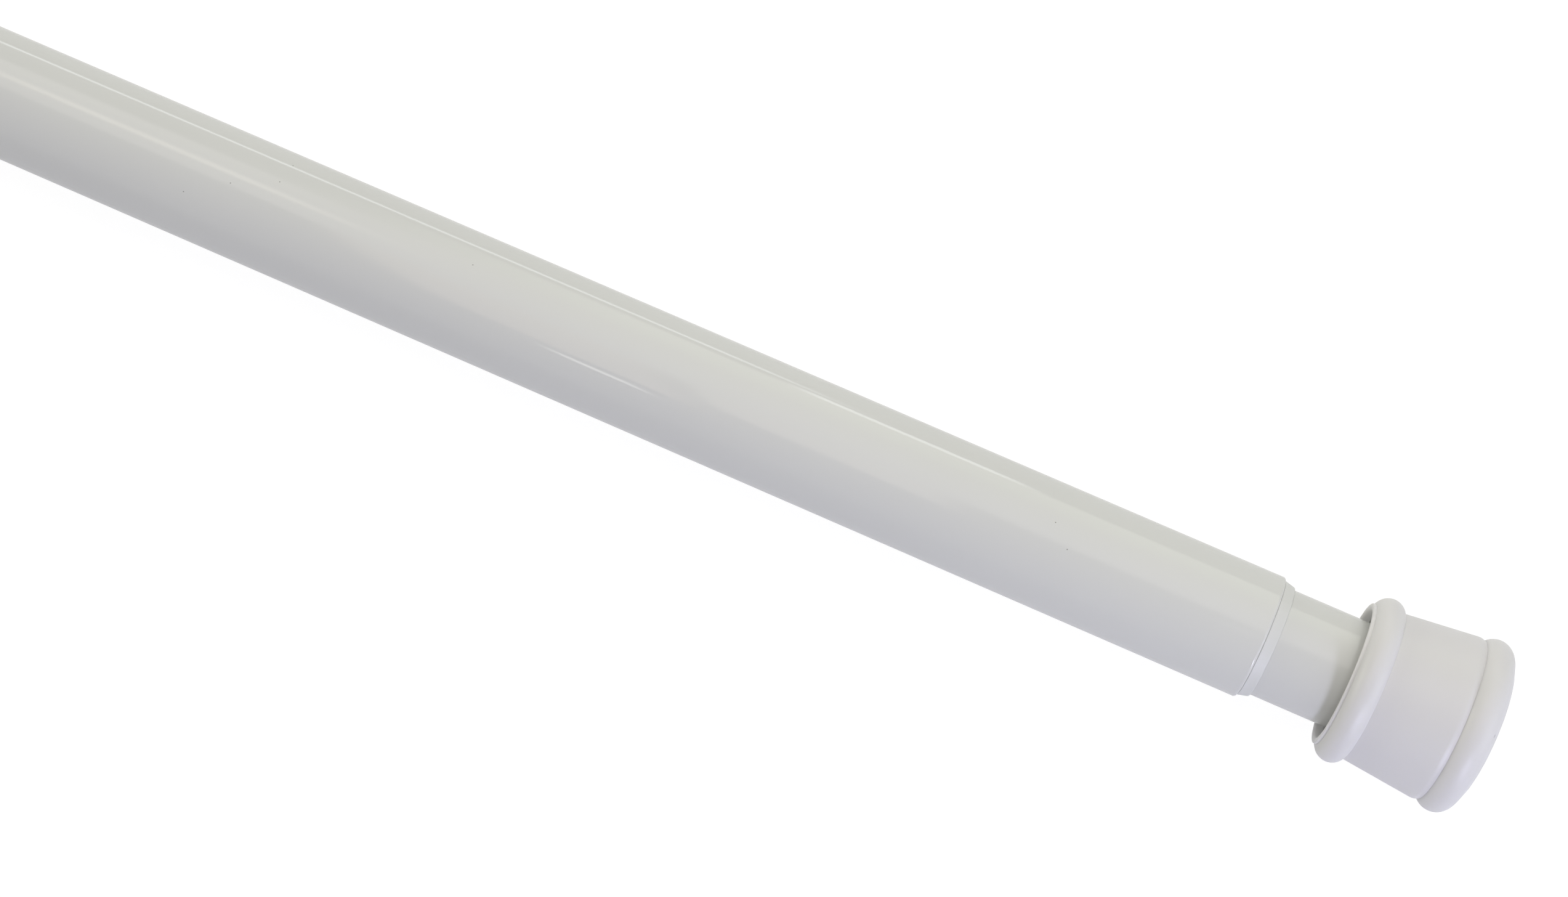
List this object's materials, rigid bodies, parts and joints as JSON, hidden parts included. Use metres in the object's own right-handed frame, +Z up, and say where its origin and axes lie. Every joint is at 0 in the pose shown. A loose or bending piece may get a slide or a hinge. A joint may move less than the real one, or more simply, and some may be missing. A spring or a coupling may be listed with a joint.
{
  "type": "spring tension rod",
  "caption": "Telescoping curtain rod of white steel tubes with flared end caps; a twist lock sets its length and an inner spring wedges it between walls.",
  "frame": {"origin": "centre of the outer tube's wall face, on the rubber pad's flat face", "axes": "+X along the rod, from the outer tube's end to the inner tube's end; +Z up"},
  "size_m": [0.6247, 0.036, 0.036],
  "materials": {
    "white_enamel": "gloss enamel on steel",
    "cap_plastic": "satin moulded plastic",
    "ring_plastic": "satin moulded plastic",
    "pad_rubber": "matt rubber",
    "nylon": "natural moulded nylon",
    "spring_steel": "drawn spring wire",
    "zinc_steel": "bright zinc plate"
  },
  "bodies": {
    "outer": {"outer_tube": "white_enamel", "trim_ring": "ring_plastic", "outer_end_cap": "cap_plastic", "outer_end_pad": "pad_rubber"},
    "lock": {"lock_sleeve": "nylon"},
    "cone": {"cone_nut": "nylon"},
    "drive": {"spindle": "zinc_steel", "compression_spring": "spring_steel", "spring_washer": "zinc_steel", "stop_washer": "zinc_steel", "stop_nut": "zinc_steel", "end_washer": "zinc_steel", "end_screw": "zinc_steel"},
    "inner": {"inner_tube": "white_enamel", "inner_end_cap": "cap_plastic", "inner_end_pad": "pad_rubber", "guide_plug": "nylon"}
  },
  "joints": [
    {"name": "length_slide", "type": "slide", "parent": "outer", "child": "lock", "axis": [1, 0, 0], "range_m": [-0.015, 0.29]},
    {"name": "twist_lock", "type": "hinge", "parent": "lock", "child": "drive", "pos_m": [0.15, 0, 0], "axis": [1, 0, 0], "range_deg": [0, 540]},
    {"name": "cone_travel", "type": "slide", "parent": "lock", "child": "cone", "axis": [1, 0, 0], "range_m": [-0.0061, 0]},
    {"name": "spring_travel", "type": "slide", "parent": "drive", "child": "inner", "axis": [1, 0, 0], "range_m": [-0.022, 0], "stiffness_N_per_m": 4500, "springref_m": 0.005, "deforming": ["compression_spring"]}
  ],
  "couplings": [
    {"joint": "cone_travel", "follows": "twist_lock", "m_per_rad": -0.000636}
  ]
}
